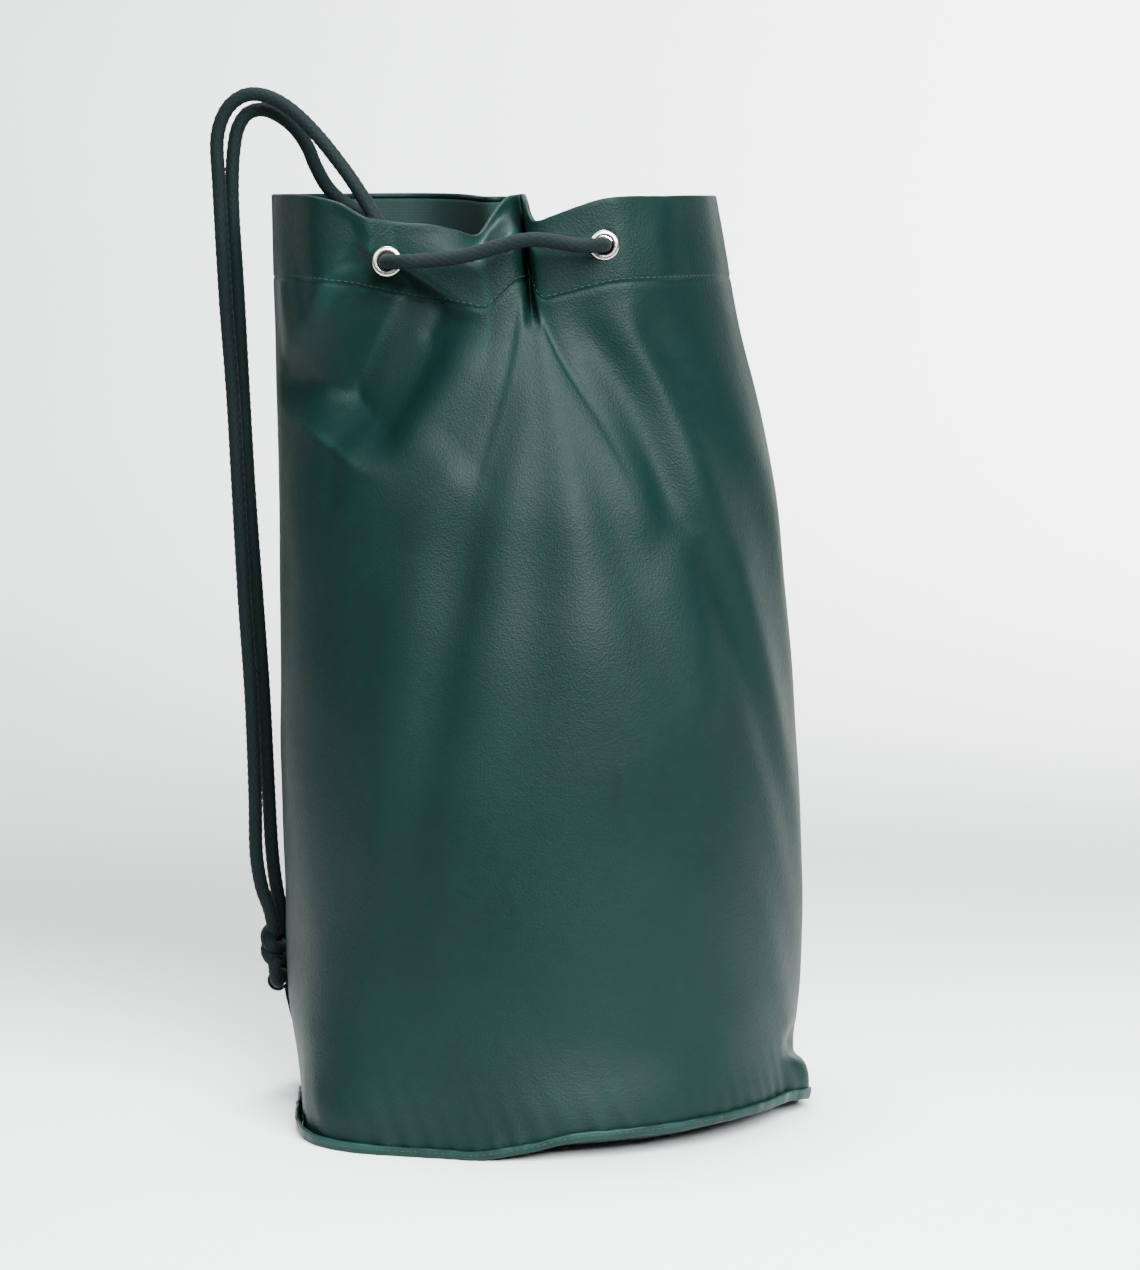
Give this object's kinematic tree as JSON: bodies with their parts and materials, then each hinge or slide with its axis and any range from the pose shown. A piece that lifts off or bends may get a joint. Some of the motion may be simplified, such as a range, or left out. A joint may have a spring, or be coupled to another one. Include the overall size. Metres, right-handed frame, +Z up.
{
  "type": "fruit picking bag",
  "caption": "Round-based drawstring picking sack in coated cloth, with metal eyelets and one rope that forms the mouth tie and the shoulder cords.",
  "frame": {"origin": "centre of the round base, on its flat underside", "axes": "+Z up from the base to the mouth, -Y towards the front pleat, -X towards the hanging shoulder cords"},
  "size_m": [0.3285, 0.2798, 0.5592],
  "materials": {
    "coated_cloth": "satin, fine pebbled grain",
    "lining": "matte woven backing",
    "binding": "satin",
    "rope": "matte braided cord",
    "nickel": "polished nickel plate"
  },
  "bodies": {
    "bag": {"front_panel": "coated_cloth", "back_panel": "coated_cloth", "base_panel": "coated_cloth", "base_binding": "binding", "front_hem_facing": "lining", "back_hem_facing": "lining", "left_seam_tape": "lining", "right_seam_tape": "lining", "front_left_eyelet": "nickel", "front_left_eyelet_washer": "nickel", "front_right_eyelet": "nickel", "front_right_eyelet_washer": "nickel", "back_left_eyelet": "nickel", "back_left_eyelet_washer": "nickel", "back_right_eyelet": "nickel", "back_right_eyelet_washer": "nickel", "anchor_tab": "coated_cloth", "cord_knot": "rope", "inside_cord_run": "rope"},
    "near_shoulder": {"near_shoulder_cord": "rope"},
    "far_shoulder": {"far_shoulder_cord": "rope"},
    "front_run": {"front_cord_run": "rope"},
    "back_run": {"back_cord_run": "rope"}
  },
  "joints": [
    {"name": "near_shoulder_swing", "type": "hinge", "parent": "bag", "child": "near_shoulder", "pos_m": [-0.1575, 0.0117, 0.106], "axis": [0.1938, -0.1702, 0.9662], "range_deg": [0, 40]},
    {"name": "far_shoulder_swing", "type": "hinge", "parent": "bag", "child": "far_shoulder", "pos_m": [-0.1523, 0.0202, 0.106], "axis": [-0.1806, -0.0831, -0.98], "range_deg": [0, 22]},
    {"name": "front_cord_pull", "type": "slide", "parent": "bag", "child": "front_run", "axis": [0, -1, 0], "range_m": [0, 0.015]},
    {"name": "back_cord_pull", "type": "slide", "parent": "bag", "child": "back_run", "axis": [0, 1, 0], "range_m": [0, 0.015]}
  ]
}
